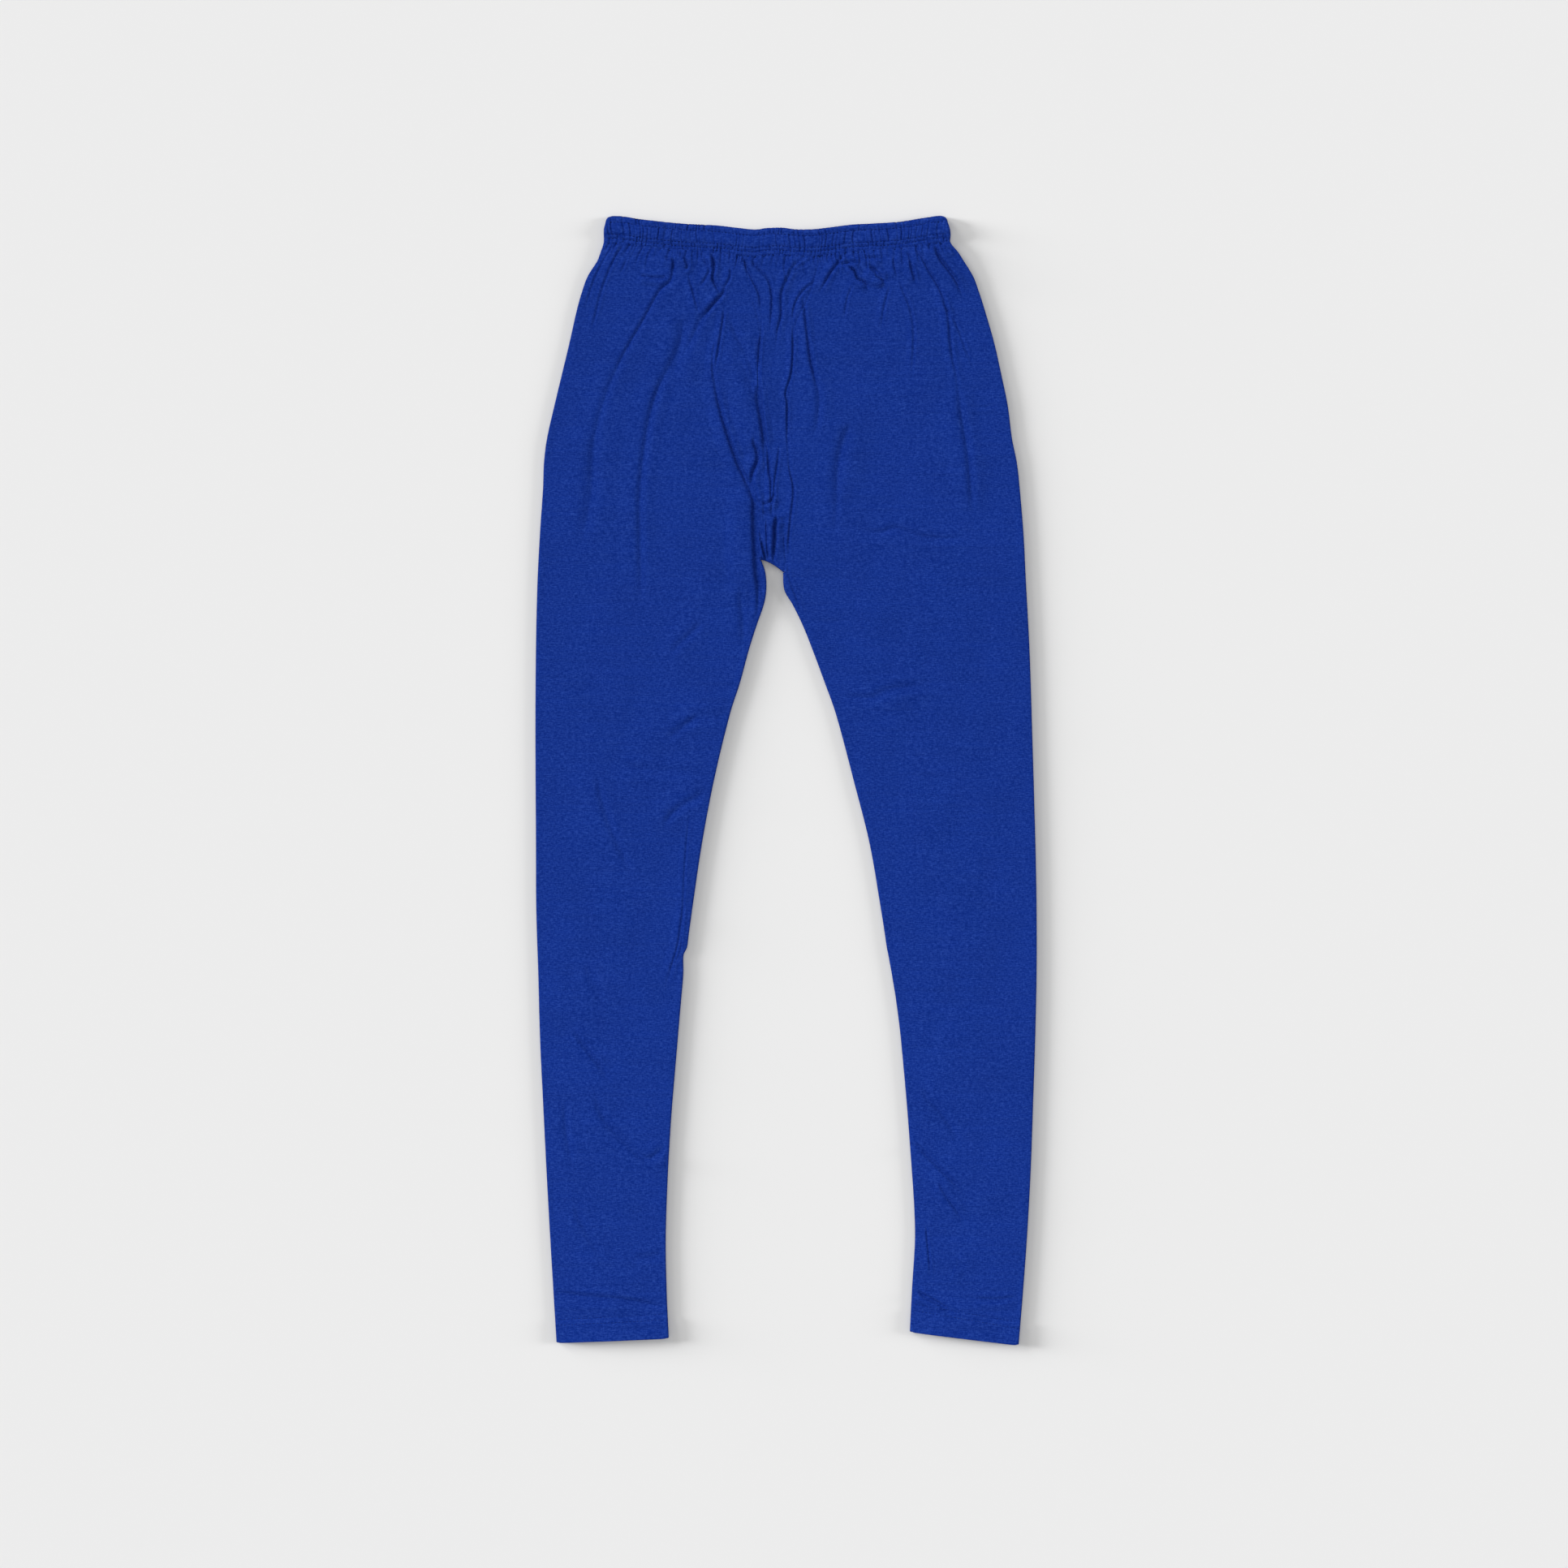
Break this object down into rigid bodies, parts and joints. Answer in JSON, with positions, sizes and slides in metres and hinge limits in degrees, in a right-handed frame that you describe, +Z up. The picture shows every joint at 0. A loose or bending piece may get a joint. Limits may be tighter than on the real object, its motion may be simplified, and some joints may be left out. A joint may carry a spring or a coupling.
{
  "type": "churidar pants",
  "caption": "Pull-on churidar leggings laid flat, front up: long tapering legs, a crotch gusset strip and a gathered elastic waistband.",
  "frame": {"origin": "centre of the flat underside's bounding box, on the surface that the garment lies on", "axes": "+Z up, away from the surface; +Y from the hems to the waist; +X to the right of someone looking down on the front"},
  "size_m": [0.4751, 1.0699, 0.0068],
  "materials": {
    "cotton_jersey": "matte heathered stretch jersey"
  },
  "bodies": {
    "root": {"leg_left": "cotton_jersey", "leg_right": "cotton_jersey", "gusset": "cotton_jersey", "waistband": "cotton_jersey"}
  },
  "joints": []
}
